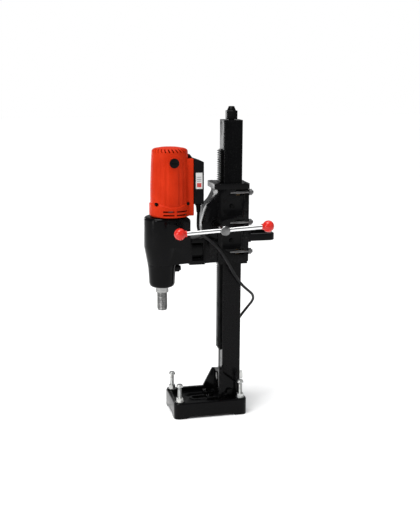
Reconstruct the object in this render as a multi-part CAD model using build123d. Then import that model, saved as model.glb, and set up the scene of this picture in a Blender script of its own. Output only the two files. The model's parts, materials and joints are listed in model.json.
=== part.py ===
from build123d import *
import math
import os

# Core drill rig. Millimetres, +Z up. The origin is at floor level under the middle of the base.
# -Y is the front, where the spindle hangs over the work, and the feed handle is on the +X side.

# ---- driving dimensions -------------------------------------------------------------------
BASE_WIDTH = 150.0
BASE_LENGTH = 220.0
BASE_HEIGHT = 48.0
BASE_DECK_TOP = 36.0
BASE_DECK_BOTTOM = 26.0
BASE_WALL = 9.0
BRACKET_FOOT_Z = 40.0
BRACKET_WALL = 12.0
BRACKET_REACH = 34.0
BRACKET_HIGH = 140.0
BRACKET_LOW = 116.0
BACK_BOLT_Z = 100.0
BASE_RAIL = 13.0
BASE_CORNER = 16.0
FOOT_ARCH_HEIGHT = 7.0
FOOT_ARCH_HALF = 76.0
BOSS_RADIUS = 16.0
BOSS_TOP = 50.0
ANCHOR_SLOT_LENGTH = 60.0
ANCHOR_SLOT_WIDTH = 20.0
ANCHOR_SLOT_Y = -13.0

LEVEL_X = 58.0
LEVEL_Y = 92.0
LEVEL_THREAD = 12.0
LEVEL_TIP_Z = 8.0
LEVEL_HEAD_Z = 96.0
HEAD_M12 = 18.0
HEAD_M12_HEIGHT = 7.5

COLUMN = 55.0
COLUMN_WALL = 4.0
COLUMN_CORNER = 4.0
COLUMN_TOP = 866.0
COLUMN_Y = 72.0
COLUMN_FRONT = COLUMN_Y - COLUMN / 2
COLUMN_BACK = COLUMN_Y + COLUMN / 2

FEED_MODULE = 2.0
RACK_TIP = 11.0
RACK_WIDTH = 28.0
RACK_BOTTOM = 187.0
RACK_TEETH = 95
RACK_PITCH = math.pi * FEED_MODULE
RACK_TOP = RACK_BOTTOM + RACK_TEETH * RACK_PITCH
RACK_SCREW_LEVELS = [RACK_BOTTOM + RACK_PITCH * (5 + 17 * step) for step in range(6)]
PINION_TEETH = 18
PINION_Z = 575.0
PINION_Y = COLUMN_FRONT - RACK_TIP + FEED_MODULE - FEED_MODULE * PINION_TEETH / 2
PINION_SHAFT = 16.0

CARRIAGE_WIDTH = 90.0
CARRIAGE_BOTTOM = 460.0
CARRIAGE_TOP = 674.0
CARRIAGE_FRONT = 24.0
CARRIAGE_BACK = 116.0
TOP_PLATE_TOP = 690.0
SHOE_GAP = 3.0
CLAMP_BOLT_X = 40.5
CLAMP_BOLT_LEVELS = (491.0, 577.0, 664.0)
CLAMP_THREAD = 10.0
NECK_BOLT_X = 24.0
NECK_BOLT_LEVELS = (478.0, 518.0)
HANDLE_LOOP_WIDTH = 74.0
HANDLE_LOOP_LENGTH = 96.0
HANDLE_LOOP_HEIGHT = 21.0
HANDLE_LOOP_END = 199.0
HANDLE_LOOP_Z = 519.0
CARRY_SCREW_X = 31.0
CARRY_SCREW_Z = 533.0
TOP_SCREW_X = 39.0
TOP_SCREW_Y = (24.0, 106.0)

HANDLE_X = 145.0
HANDLE_REACH = 126.0
HANDLE_TILT = 3.0
HANDLE_BAR = 12.0
HANDLE_KNOB = 33.0

SPINDLE_Y = -132.0
MOTOR_Y = -108.0
LAYSHAFT_Y = -84.0
SPINDLE_THREAD = 31.75
SPINDLE_TIP_Z = 319.0
SPINDLE_SHOULDER_Z = 373.0
NOSE_BOTTOM = 390.0
NOSE_TOP = 457.0
GEARBOX_TOP = 596.0
GEARBOX_HALF = 50.0
GEARBOX_BACK = -58.0
WALL = 6.0

MOTOR_BOTTOM = 598.0
MOTOR_RIM = 778.0
MOTOR_CROWN = 792.0
MOTOR_R_TOP = 51.5
MOTOR_R_LOW = 55.0
MOTOR_BAND_R = 59.5
MOTOR_BAND_TOP = 630.0
MOTOR_WALL = 3.5
REAR_TOP = 761.0
REAR_HALF = 31.0
BRUSH_Y = MOTOR_Y + 3
BRUSH_Z = 752.0
BRUSH_CAP = 13.5

BOX_HALF = 29.0
BOX_FRONT = -44.0
BOX_BACK = -15.0
BOX_BOTTOM = 632.0
BOX_TOP_FRONT = 762.0
BOX_TOP_BACK = 752.0
ROCKER_Z = 718.0
GLAND_X = 4.0
GLAND_Y = -25.0
GLAND_TIP_Z = 604.0

CORD = 8.0
COIL_CENTRE = (-140.0, 88.0)
COIL_MEAN_RADIUS = 42.0
COIL_TURNS_WIDE = 2
COIL_TURNS_HIGH = 3
COIL_HEIGHT = COIL_TURNS_HIGH * CORD
PLUG_X = -94.0
PLUG_NECK_Y = 62.0
PLUG_NECK_Z = 8.0
PLUG_NECK_RADIUS = 6.5
PLUG_RADIUS = 18.5
PLUG_TAPER = 30.0
PLUG_GRIP = 22.0
PLUG_PIN = 19.0
PLUG_PIN_SPACING = 19.0

CORD_ROUTE = [
    (GLAND_X, GLAND_Y, GLAND_TIP_Z),
    (GLAND_X + 1.5, GLAND_Y - 1.5, 583.0),
    (15.5, -29.0, 564.5),
    (33.0, -29.0, 552.0),
    (51.0, -20.0, 542.0),
    (63.0, -1.0, 529.0),
    (68.0, 27.0, 501.0),
    (67.0, 50.0, 463.0),
    (59.0, 72.0, 424.0),
    (43.0, 98.0, 390.0),
    (22.0, 124.0, 367.0),
    (-4.0, 146.0, 347.0),
    (-36.0, 156.0, 322.0),
    (-66.0, 144.0, 290.0),
    (-84.0, 120.0, 248.0),
    (-93.0, 99.0, 196.0),
    (-93.0, 87.0, 142.0),
    (-91.0, 81.0, 98.0),
    (-92.0, 74.0, 66.0),
    (-98.0, 66.0, 43.0),
    (-110.0, 58.5, 29.0),
    (-127.0, 52.5, 19.5),
]

FOOT_BOLTS = [(side * 22.0, COLUMN_FRONT - BRACKET_WALL - 22) for side in (-1, 1)]
CHEEK_BOLT_Y = COLUMN_Y - 8
CHEEK_BOLT_Z = 62.0
NOSE_SCREWS = [(36.5 * math.cos(math.radians(angle)), SPINDLE_Y + 36.5 * math.sin(math.radians(angle)))
               for angle in (45, 135, 225, 315)]

PARTS = {}


# ---- small helpers ------------------------------------------------------------------------
def block(x0, x1, y0, y1, z0, z1):
    size = Box(x1 - x0, y1 - y0, z1 - z0)
    return Pos((x0 + x1) / 2, (y0 + y1) / 2, (z0 + z1) / 2) * size


def rod(radius, start, end):
    direction = Vector(*end) - Vector(*start)
    plane = Plane(origin=start, z_dir=direction)
    return extrude(plane * Circle(radius), amount=direction.length)


def tube(outer, inner, start, end):
    return rod(outer, start, end) - rod(inner, start, end)


def upright(radius, x, y, z0, z1):
    return rod(radius, (x, y, z0), (x, y, z1))


def hex_prism(across_flats, start, end):
    direction = Vector(*end) - Vector(*start)
    plane = Plane(origin=start, z_dir=direction)
    outline = RegularPolygon(across_flats / 2, 6, major_radius=False)
    return extrude(plane * outline, amount=direction.length)


def rounded_block(width, length, radius, z0, z1, y=0.0, x=0.0):
    return extrude(Pos(x, y, z0) * RectangleRounded(width, length, radius), amount=z1 - z0)


def side_profile(points, half_width):
    """Extrude an outline given as (y, z) points to both sides of the plane x = 0."""
    face = make_face(Polyline([(0, y, z) for y, z in points], close=True))
    return extrude(face, amount=half_width, both=True, dir=(1, 0, 0))


def turned(points, y):
    """Revolve an outline given as (radius, z) points about the upright line at x = 0, y."""
    face = make_face(Polyline([(r, y, z) for r, z in points], close=True))
    return revolve(face, Axis((0, y, 0), (0, 0, 1)), 360)


def soften(shape, radius, picked):
    """Fillet the picked edges together, or leave them sharp where no fillet fits."""
    try:
        softened = fillet(picked, radius)
        return softened if softened.is_valid else shape
    except Exception:
        return shape


def gear(module, teeth, bore, z0, z1, y, slack=0.06, phase=0.0):
    """Spur gear with involute flanks, thinned by the slack at each flank, on an upright axis."""
    pitch = module * teeth / 2
    tip = pitch + 0.9 * module
    root = pitch - 1.2 * module
    base = pitch * math.cos(math.radians(20))
    inv_pitch = math.tan(math.radians(20)) - math.radians(20)
    half = math.pi / (2 * teeth) - slack / pitch + inv_pitch
    flank = []
    for step in range(5):
        radius = max(base, root) + (tip - max(base, root)) * step / 4
        pressure = math.acos(min(1.0, base / radius))
        flank.append((radius, half - (math.tan(pressure) - pressure)))
    flank.insert(0, (root, flank[0][1] + 0.02))
    outline = []
    for tooth in range(teeth):
        middle = 2 * math.pi * tooth / teeth + phase
        for radius, angle in flank:
            outline.append((radius * math.cos(middle - angle), radius * math.sin(middle - angle)))
        for radius, angle in reversed(flank):
            outline.append((radius * math.cos(middle + angle), radius * math.sin(middle + angle)))
    blank = extrude(make_face(Polyline(outline, close=True)), amount=z1 - z0)
    return Pos(0, y, z0) * (blank - Cylinder(bore, 3 * (z1 - z0)))


def corners(x, y):
    return [(sx * x, sy * y) for sx in (-1, 1) for sy in (-1, 1)]


def keep(name, shape):
    solids = shape.solids()
    PARTS[name] = solids[0] if len(solids) == 1 else Compound(children=list(solids))


# ---- base and column ----------------------------------------------------------------------
def make_base():
    body = rounded_block(BASE_WIDTH, BASE_LENGTH, BASE_CORNER, 0, BASE_HEIGHT)
    body = soften(body, 3.0, body.edges().group_by(Axis.Z)[-1])
    inner = 2 * BASE_WALL
    body -= rounded_block(BASE_WIDTH - inner, BASE_LENGTH - inner, 8, -1, BASE_DECK_BOTTOM)
    rail = 2 * BASE_RAIL
    body -= rounded_block(BASE_WIDTH - rail, BASE_LENGTH - rail, 10, BASE_DECK_TOP, BASE_HEIGHT + 1)
    for x, y in corners(LEVEL_X, LEVEL_Y):
        body += upright(BOSS_RADIUS, x, y, 0, BOSS_TOP)
    pad_front = COLUMN_FRONT - BRACKET_WALL - BRACKET_REACH
    body += block(-38, 38, pad_front, BASE_LENGTH / 2 - BASE_RAIL, BASE_DECK_BOTTOM - 8, BRACKET_FOOT_Z)
    body -= rounded_block(COLUMN + 0.4, COLUMN + 0.4, COLUMN_CORNER, BASE_DECK_BOTTOM, 60, COLUMN_Y)
    for x in (-24, 24):
        body += block(x - 2.5, x + 2.5, -BASE_LENGTH / 2 + 8, pad_front, BASE_DECK_BOTTOM - 10, BASE_DECK_TOP)
    slot = SlotOverall(ANCHOR_SLOT_LENGTH, ANCHOR_SLOT_WIDTH, rotation=90)
    rim = SlotOverall(ANCHOR_SLOT_LENGTH + 16, ANCHOR_SLOT_WIDTH + 16, rotation=90)
    rim_bottom = BASE_DECK_BOTTOM - 2
    body += extrude(Pos(0, ANCHOR_SLOT_Y, rim_bottom) * rim, amount=BASE_DECK_TOP + 2 - rim_bottom)
    body -= extrude(Pos(0, ANCHOR_SLOT_Y, 0) * slot, amount=60)
    arch = FOOT_ARCH_HALF
    rise = FOOT_ARCH_HEIGHT
    body -= side_profile([(-arch, -1), (arch, -1), (arch - 12, rise), (-arch + 12, rise)], BASE_WIDTH)
    end_arch = Polyline([(-44, 0, -1), (44, 0, -1), (34, 0, rise), (-34, 0, rise)], close=True)
    body -= extrude(make_face(end_arch), amount=BASE_LENGTH, both=True, dir=(0, 1, 0))
    for x, y in corners(LEVEL_X, LEVEL_Y):
        body -= upright(LEVEL_THREAD / 2 + 0.05, x, y, -1, 60)
    for x, y in FOOT_BOLTS:
        body -= upright(4.0, x, y, -1, 60)
    return body


def make_levelling_screw(x, y):
    screw = upright(LEVEL_THREAD / 2, x, y, LEVEL_TIP_Z, LEVEL_HEAD_Z)
    screw = chamfer(screw.edges().group_by(Axis.Z)[0], 1.5)
    head = hex_prism(HEAD_M12, (x, y, LEVEL_HEAD_Z), (x, y, LEVEL_HEAD_Z + HEAD_M12_HEIGHT))
    dome = Pos(x, y, LEVEL_HEAD_Z + 2) * Cone(13.0, 7.5, 11)
    return screw + (head & dome)


def make_lock_nuts():
    nuts = []
    for x, y in corners(LEVEL_X, LEVEL_Y):
        nut = hex_prism(HEAD_M12, (x, y, BOSS_TOP + 2.0), (x, y, BOSS_TOP + 12.0))
        washer = upright(12.0, x, y, BOSS_TOP, BOSS_TOP + 2.0)
        nuts.append(nut + washer - upright(LEVEL_THREAD / 2 + 0.05, x, y, BOSS_TOP - 1, BOSS_TOP + 13))
    return Compound(children=nuts)


def make_column():
    body = rounded_block(COLUMN, COLUMN, COLUMN_CORNER, BASE_DECK_BOTTOM, COLUMN_TOP, COLUMN_Y)
    bore = COLUMN - 2 * COLUMN_WALL
    body -= rounded_block(bore, bore, 1.5, BASE_DECK_BOTTOM - 1, COLUMN_TOP + 1, COLUMN_Y)
    body -= rod(8.2, (0, COLUMN_FRONT - 1, BACK_BOLT_Z), (0, COLUMN_BACK + 1, BACK_BOLT_Z))
    for z in RACK_SCREW_LEVELS:
        body -= rod(3.0, (0, COLUMN_FRONT - 1, z), (0, COLUMN_FRONT + COLUMN_WALL + 1, z))
    return body


def make_rack():
    tip = COLUMN_FRONT - RACK_TIP + 0.1 * FEED_MODULE
    root = COLUMN_FRONT - RACK_TIP + 2.2 * FEED_MODULE
    outline = [(COLUMN_FRONT, RACK_BOTTOM)]
    half_tip = RACK_PITCH / 4 - FEED_MODULE * 0.9 * math.tan(math.radians(20)) - 0.06
    half_root = RACK_PITCH / 4 + FEED_MODULE * 1.2 * math.tan(math.radians(20)) - 0.06
    shift = (PINION_Z - RACK_BOTTOM) % RACK_PITCH + RACK_PITCH / 2
    outline.append((root, RACK_BOTTOM))
    for tooth in range(RACK_TEETH):
        middle = RACK_BOTTOM + shift % RACK_PITCH + tooth * RACK_PITCH
        if middle + half_root > RACK_TOP or middle - half_root < RACK_BOTTOM:
            continue
        outline += [(root, middle - half_root), (tip, middle - half_tip)]
        outline += [(tip, middle + half_tip), (root, middle + half_root)]
    outline += [(root, RACK_TOP), (COLUMN_FRONT, RACK_TOP)]
    rack = side_profile(outline, RACK_WIDTH / 2)
    for z in RACK_SCREW_LEVELS:
        rack -= rod(3.0, (0, tip - 2, z), (0, COLUMN_FRONT + 1, z))
        rack -= rod(5.2, (0, tip - 2, z), (0, COLUMN_FRONT - 2.5, z))
    return rack


def make_rack_screws():
    screws = []
    for z in RACK_SCREW_LEVELS:
        screw = rod(2.9, (0, COLUMN_FRONT - 2.5, z), (0, COLUMN_FRONT + 9, z))
        head = rod(5.0, (0, COLUMN_FRONT - 6.4, z), (0, COLUMN_FRONT - 2.5, z))
        head -= hex_prism(4.0, (0, COLUMN_FRONT - 7, z), (0, COLUMN_FRONT - 4, z))
        screws.append(screw + head)
    return Compound(children=screws)


def make_bracket():
    front = COLUMN_FRONT - BRACKET_WALL
    toe = front - BRACKET_REACH
    foot = BRACKET_FOOT_Z
    high = BRACKET_HIGH
    low = BRACKET_LOW
    wall = block(-38, 38, front, COLUMN_FRONT - 0.2, foot, high)
    wall -= block(-13, 13, front - 1, COLUMN_FRONT + 1, foot - 1, BACK_BOLT_Z)
    wall -= rod(13, (0, front - 1, BACK_BOLT_Z), (0, COLUMN_FRONT + 1, BACK_BOLT_Z))
    cheek = [(front, foot), (COLUMN_Y + 18, foot), (COLUMN_Y + 17, 84), (COLUMN_Y, 99), (50, 116)]
    cheek += [(40, 128), (front + 1, high), (front, high)]
    cheeks = side_profile(cheek, 38) - side_profile(cheek, COLUMN / 2 + 0.2)
    gusset_points = [(front, foot), (toe + 8, foot), (toe + 2, 60), (toe + 2, 64)]
    gusset_points += [(front - 5, low), (front, low)]
    gusset = Pos(-34, 0, 0) * side_profile(gusset_points, 4)
    toes = block(-38, 38, toe, front, foot, foot + 8) - block(-13, 13, toe - 1, front + 1, foot - 1, foot + 9)
    bracket = wall + cheeks + gusset + toes
    slant = Polyline([(-39, 0, low), (39, 0, high), (39, 0, high + 20), (-39, 0, high + 20)], close=True)
    bracket -= extrude(make_face(slant), amount=200, dir=(0, 1, 0))
    for x, y in FOOT_BOLTS:
        bracket -= upright(4.3, x, y, foot - 1, foot + 9)
    for side in (-1, 1):
        bracket -= rod(5.2, (side * 26, CHEEK_BOLT_Y, CHEEK_BOLT_Z), (side * 46, CHEEK_BOLT_Y, CHEEK_BOLT_Z))
    return bracket


def make_bracket_bolts():
    foot = BRACKET_FOOT_Z
    bolts = []
    for x, y in FOOT_BOLTS:
        shank = upright(4.0, x, y, foot - 16, foot + 8)
        bolts.append(shank + hex_prism(13, (x, y, foot + 8), (x, y, foot + 13.5)))
    for side in (-1, 1):
        place = (CHEEK_BOLT_Y, CHEEK_BOLT_Z)
        shank = rod(5.0, (side * 28, *place), (side * 38, *place))
        bolts.append(shank + hex_prism(17, (side * 38, *place), (side * 44.5, *place)))
    return Compound(children=bolts)


def make_back_bolt():
    shank = rod(8.0, (0, COLUMN_FRONT - 8, BACK_BOLT_Z), (0, COLUMN_BACK + 4, BACK_BOLT_Z))
    washer = rod(14.0, (0, COLUMN_BACK, BACK_BOLT_Z), (0, COLUMN_BACK + 3, BACK_BOLT_Z))
    head = hex_prism(24, (0, COLUMN_BACK + 3, BACK_BOLT_Z), (0, COLUMN_BACK + 13, BACK_BOLT_Z))
    nut = hex_prism(22, (0, COLUMN_FRONT - 11, BACK_BOLT_Z), (0, COLUMN_FRONT, BACK_BOLT_Z))
    return shank + washer + head + nut


def make_column_cap():
    bore = COLUMN - 2 * COLUMN_WALL
    plug = rounded_block(bore - 0.4, bore - 0.4, 1.5, COLUMN_TOP - 34, COLUMN_TOP, COLUMN_Y)
    lip = rounded_block(COLUMN, COLUMN, COLUMN_CORNER, COLUMN_TOP, COLUMN_TOP + 2, COLUMN_Y)
    return plug + lip - upright(9.05, 0, COLUMN_Y, COLUMN_TOP - 40, COLUMN_TOP + 10)


def make_jack_screw():
    shank = upright(9.0, 0, COLUMN_Y, COLUMN_TOP - 60, COLUMN_TOP + 6)
    head = hex_prism(31, (0, COLUMN_Y, COLUMN_TOP + 4), (0, COLUMN_Y, COLUMN_TOP + 28))
    crown = Pos(0, COLUMN_Y, COLUMN_TOP + 16) * Cone(22, 13.2, 24)
    cone = Pos(0, COLUMN_Y, COLUMN_TOP + 34) * Cone(13.0, 7.5, 12)
    return shank + (head & crown) + cone


# ---- carriage -----------------------------------------------------------------------------
def column_passage(z0, z1, gap):
    side = COLUMN + 2 * gap
    hole = rounded_block(side, side, 3, z0, z1, COLUMN_Y)
    return hole + block(-17, 17, COLUMN_FRONT - RACK_TIP - 1.5, COLUMN_Y, z0, z1)


def make_carriage():
    half = CARRIAGE_WIDTH / 2
    body = block(-half, half, CARRIAGE_FRONT, COLUMN_BACK + SHOE_GAP - 0.2, CARRIAGE_BOTTOM, CARRIAGE_TOP)
    slope = [(26, 668), (19, 656), (11, 641), (-2, 627), (-9, 612), (-14, 594), (-19, 576), (-19, 560),
             (-15, 545), (-6, 538), (0, 536), (0, CARRIAGE_BOTTOM), (26, CARRIAGE_BOTTOM)]
    body += side_profile(slope, 36)
    body -= column_passage(CARRIAGE_BOTTOM - 1, CARRIAGE_TOP + 1, SHOE_GAP)
    body -= block(-half + 12, half - 12, COLUMN_Y, 120, CARRIAGE_BOTTOM - 1, CARRIAGE_TOP + 1)
    body -= rod(22, (-13.5, PINION_Y, PINION_Z), (13.5, PINION_Y, PINION_Z))
    body -= block(-13.5, 13.5, PINION_Y, 40, PINION_Z - 22, PINION_Z + 22)
    body -= rod(12, (-half - 9, PINION_Y, PINION_Z), (half + 9, PINION_Y, PINION_Z))
    for side in (-1, 1):
        body += tube(17, 12, (side * 35, PINION_Y, PINION_Z), (side * 47, PINION_Y, PINION_Z))
        for z in CLAMP_BOLT_LEVELS:
            x0, x1 = sorted((side * 33, side * (half + 1)))
            body -= block(x0, x1, 76, 120, z - 8, z + 8)
            body -= rod(CLAMP_THREAD / 2, (side * CLAMP_BOLT_X, 60, z), (side * CLAMP_BOLT_X, 80, z))
        x0, x1 = sorted((side * 41, side * (half + 1)))
        for low, high in ((500, 548), (598, 648)):
            body -= block(x0, x1, 38, 92, low, high)
        for z in NECK_BOLT_LEVELS:
            body -= rod(4.2, (side * NECK_BOLT_X, -1, z), (side * NECK_BOLT_X, 22, z))
    return body


def make_clamp_plate():
    half = CARRIAGE_WIDTH / 2
    y0 = COLUMN_BACK + SHOE_GAP
    plate = block(-half, half, y0, CARRIAGE_BACK, CARRIAGE_BOTTOM + 2, CARRIAGE_TOP - 2)
    for low, high in ((508, 560), (594, 646)):
        plate -= block(-half + 14, half - 14, CARRIAGE_BACK - 6, CARRIAGE_BACK + 1, low, high)
    plate = soften(plate, 3.0, plate.edges().filter_by(Axis.Z).group_by(Axis.Y)[-1])
    for side in (-1, 1):
        for z in CLAMP_BOLT_LEVELS:
            x = side * CLAMP_BOLT_X
            plate -= rod(CLAMP_THREAD / 2 + 0.3, (x, y0 - 1, z), (x, 120, z))
    for x in (-CARRY_SCREW_X, CARRY_SCREW_X):
        plate -= rod(4.0, (x, y0 - 1, CARRY_SCREW_Z), (x, 120, CARRY_SCREW_Z))
    return plate


def make_clamp_bolts():
    bolts = []
    for side in (-1, 1):
        for z in CLAMP_BOLT_LEVELS:
            x = side * CLAMP_BOLT_X
            shank = rod(CLAMP_THREAD / 2, (x, 60, z), (x, CARRIAGE_BACK + 12, z))
            nut = hex_prism(16, (x, CARRIAGE_BACK, z), (x, CARRIAGE_BACK + 8, z))
            bolts.append(shank + nut)
    return Compound(children=bolts)


def make_top_plate():
    plate = rounded_block(94, 104, 5, CARRIAGE_TOP, TOP_PLATE_TOP, 65)
    plate = soften(plate, 1.5, plate.edges().group_by(Axis.Z)[-1])
    plate -= column_passage(CARRIAGE_TOP - 1, TOP_PLATE_TOP + 1, 1.0)
    for x in (-TOP_SCREW_X, TOP_SCREW_X):
        for y in TOP_SCREW_Y:
            plate -= upright(3.2, x, y, CARRIAGE_TOP - 1, TOP_PLATE_TOP + 1)
            plate -= upright(6.0, x, y, TOP_PLATE_TOP - 5, TOP_PLATE_TOP + 1)
    return plate


def make_top_plate_screws():
    screws = []
    for x in (-TOP_SCREW_X, TOP_SCREW_X):
        for y in TOP_SCREW_Y:
            head = upright(5.6, x, y, TOP_PLATE_TOP - 5, TOP_PLATE_TOP + 0.5)
            head -= hex_prism(5, (x, y, TOP_PLATE_TOP - 3), (x, y, TOP_PLATE_TOP + 1))
            screws.append(head + upright(3.0, x, y, CARRIAGE_TOP, TOP_PLATE_TOP - 5))
    return Compound(children=screws)


def make_bottom_wiper():
    plate = rounded_block(86, 88, 4, CARRIAGE_BOTTOM - 5, CARRIAGE_BOTTOM, 70)
    return plate - column_passage(CARRIAGE_BOTTOM - 6, CARRIAGE_BOTTOM + 1, 0.6)


def make_guide_shoes():
    shoes = []
    for z0 in (CARRIAGE_BOTTOM + 8, CARRIAGE_TOP - 60):
        for side in (-1, 1):
            inner = side * (COLUMN / 2 + 0.15)
            outer = side * (COLUMN / 2 + SHOE_GAP)
            x0, x1 = sorted((inner, outer))
            shoes.append(block(x0, x1, COLUMN_Y - 20, COLUMN_Y + 20, z0, z0 + 52))
        shoes.append(block(-20, 20, COLUMN_BACK + 0.15, COLUMN_BACK + SHOE_GAP, z0, z0 + 52))
    return Compound(children=shoes)


def make_carriage_screws():
    """Gib screws on both sides of the carriage, and the two screws of the carry handle."""
    screws = []
    half = CARRIAGE_WIDTH / 2
    for side in (-1, 1):
        x = side * CARRY_SCREW_X
        screws.append(rod(3.8, (x, COLUMN_BACK + 4, CARRY_SCREW_Z), (x, CARRIAGE_BACK, CARRY_SCREW_Z)))
        for z in (524, 624):
            screws.append(hex_prism(11, (side * 41, COLUMN_Y - 6, z), (side * (half + 1.5), COLUMN_Y - 6, z)))
    return Compound(children=screws)


def make_carry_handle():
    """Level loop handle behind the clamp plate, wide enough for a gloved hand."""
    middle = HANDLE_LOOP_END - HANDLE_LOOP_LENGTH / 2
    outer = RectangleRounded(HANDLE_LOOP_WIDTH, HANDLE_LOOP_LENGTH, 17)
    inner = RectangleRounded(HANDLE_LOOP_WIDTH - 24, HANDLE_LOOP_LENGTH - 24, 9)
    ring = extrude(outer - inner, amount=HANDLE_LOOP_HEIGHT)
    ring = soften(ring, 3.0, ring.edges().group_by(Axis.Z)[-1])
    ring = soften(ring, 3.0, ring.edges().group_by(Axis.Z)[0])
    ring = Pos(0, middle, HANDLE_LOOP_Z) * ring
    ring -= block(-60, 60, 0, CARRIAGE_BACK + 8, 400, 700)
    half = HANDLE_LOOP_WIDTH / 2
    return ring + block(-half, half, CARRIAGE_BACK, CARRIAGE_BACK + 8.5, HANDLE_LOOP_Z - 2, HANDLE_LOOP_Z + 30)


def make_bushes():
    bushes = []
    for side in (-1, 1):
        start = (side * 15, PINION_Y, PINION_Z)
        end = (side * 50, PINION_Y, PINION_Z)
        bush = tube(11.9, PINION_SHAFT / 2 + 0.05, start, end)
        flange = tube(15.5, PINION_SHAFT / 2 + 0.05, (side * 47, PINION_Y, PINION_Z), end)
        bushes.append(bush + flange)
    return Compound(children=bushes)


# ---- feed handle --------------------------------------------------------------------------
def tilted(shape):
    return Pos(0, PINION_Y, PINION_Z) * Rot(HANDLE_TILT, 0, 0) * shape


def make_pinion_shaft():
    shaft = rod(PINION_SHAFT / 2, (-56, 0, 0), (HANDLE_X - 8, 0, 0))
    blank = gear(FEED_MODULE, PINION_TEETH, PINION_SHAFT / 2 - 1, -12, 12, 0.0, 0.06, math.pi / 2)
    teeth = Rot(0, 90, 0) * blank
    return Pos(0, PINION_Y, PINION_Z) * (shaft + teeth)


def make_shaft_collar():
    nut = hex_prism(20, (51, 0, 0), (59, 0, 0)) - rod(PINION_SHAFT / 2, (50, 0, 0), (60, 0, 0))
    far = tube(14, PINION_SHAFT / 2, (-56, 0, 0), (-51, 0, 0))
    return Compound(children=[tilted(nut), tilted(far)])


def make_handle_hub():
    hub = rod(13.5, (HANDLE_X - 22, 0, 0), (HANDLE_X + 13, 0, 0))
    hub = chamfer(hub.edges().filter_by(GeomType.CIRCLE), 2.0)
    hub -= rod(PINION_SHAFT / 2, (HANDLE_X - 30, 0, 0), (HANDLE_X - 8, 0, 0))
    hub -= rod(HANDLE_BAR / 2, (HANDLE_X, -20, 0), (HANDLE_X, 20, 0))
    return tilted(hub)


def make_handle_bar():
    reach = HANDLE_REACH - 4
    return tilted(rod(HANDLE_BAR / 2, (HANDLE_X, -reach, 0), (HANDLE_X, reach, 0)))


def make_handle_knobs():
    knobs = []
    for side in (-1, 1):
        ball = Pos(HANDLE_X, side * HANDLE_REACH, 0) * Sphere(HANDLE_KNOB / 2)
        ball += rod(8.5, (HANDLE_X, side * (HANDLE_REACH - 18.5), 0), (HANDLE_X, side * HANDLE_REACH, 0))
        socket_end = side * (HANDLE_REACH - 4)
        ball -= rod(HANDLE_BAR / 2, (HANDLE_X, side * 60, 0), (HANDLE_X, socket_end, 0))
        knobs.append(tilted(ball))
    return Compound(children=knobs)


# ---- gearbox ------------------------------------------------------------------------------
def gearbox_outline(inset):
    circle = Pos(0, SPINDLE_Y) * Circle(51.5 - inset)
    half = GEARBOX_HALF - inset
    rear = GEARBOX_BACK - inset
    return circle + Pos(0, (SPINDLE_Y + rear) / 2) * Rectangle(2 * half, rear - SPINDLE_Y)


def make_gearbox():
    body = extrude(Pos(0, 0, 510) * gearbox_outline(0), amount=GEARBOX_TOP - 510)
    body = soften(body, 9.0, body.edges().group_by(Axis.Z)[-1])
    taper = loft([Pos(0, SPINDLE_Y, NOSE_TOP) * Circle(42), Pos(0, SPINDLE_Y, 510) * Circle(51.5)])
    rear = [(SPINDLE_Y, 510), (GEARBOX_BACK, 510), (GEARBOX_BACK, 462), (SPINDLE_Y, NOSE_TOP)]
    body += taper + side_profile(rear, 40)
    cavity = extrude(Pos(0, 0, 512) * gearbox_outline(WALL), amount=GEARBOX_TOP - WALL - 512)
    body -= cavity
    body -= upright(35, 0, SPINDLE_Y, 484, 513)
    body -= upright(23.6, 0, SPINDLE_Y, NOSE_TOP - 1, 485)
    body -= upright(12, 0, MOTOR_Y, 580, GEARBOX_TOP + 1)
    body -= rod(9.0, (30, -88, 584), (60, -88, 584))
    for x, y in NOSE_SCREWS:
        body -= upright(2.9, x, y, NOSE_TOP - 1, NOSE_TOP + 13)
    return body


def make_oil_plug():
    cap = rod(10.0, (GEARBOX_HALF, -88, 584), (GEARBOX_HALF + 4, -88, 584))
    cap -= hex_prism(8, (GEARBOX_HALF + 1, -88, 584), (GEARBOX_HALF + 5, -88, 584))
    return cap + rod(8.9, (GEARBOX_HALF - 6, -88, 584), (GEARBOX_HALF, -88, 584))


def make_neck():
    web = block(-36, 36, GEARBOX_BACK, -12, 456, 532)
    web -= block(30, 40, GEARBOX_BACK + 8, -18, 468, 520) + block(-40, -30, GEARBOX_BACK + 8, -18, 468, 520)
    flange = block(-39, 39, -12, 0, CARRIAGE_BOTTOM, 534)
    front = block(-40, 40, GEARBOX_BACK, GEARBOX_BACK + 7, 464, 534)
    neck = web + flange + front
    for x in (-NECK_BOLT_X, NECK_BOLT_X):
        for z in NECK_BOLT_LEVELS:
            neck -= rod(4.2, (x, -60, z), (x, 1, z))
            neck -= rod(7.5, (x, -60, z), (x, -12, z))
    return neck


def make_neck_bolts():
    bolts = []
    for x in (-NECK_BOLT_X, NECK_BOLT_X):
        for z in NECK_BOLT_LEVELS:
            shank = rod(4.0, (x, -12, z), (x, 14, z))
            head = rod(6.5, (x, -20, z), (x, -12, z)) - hex_prism(6, (x, -21, z), (x, -16, z))
            bolts.append(shank + head)
    return Compound(children=bolts)


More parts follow.
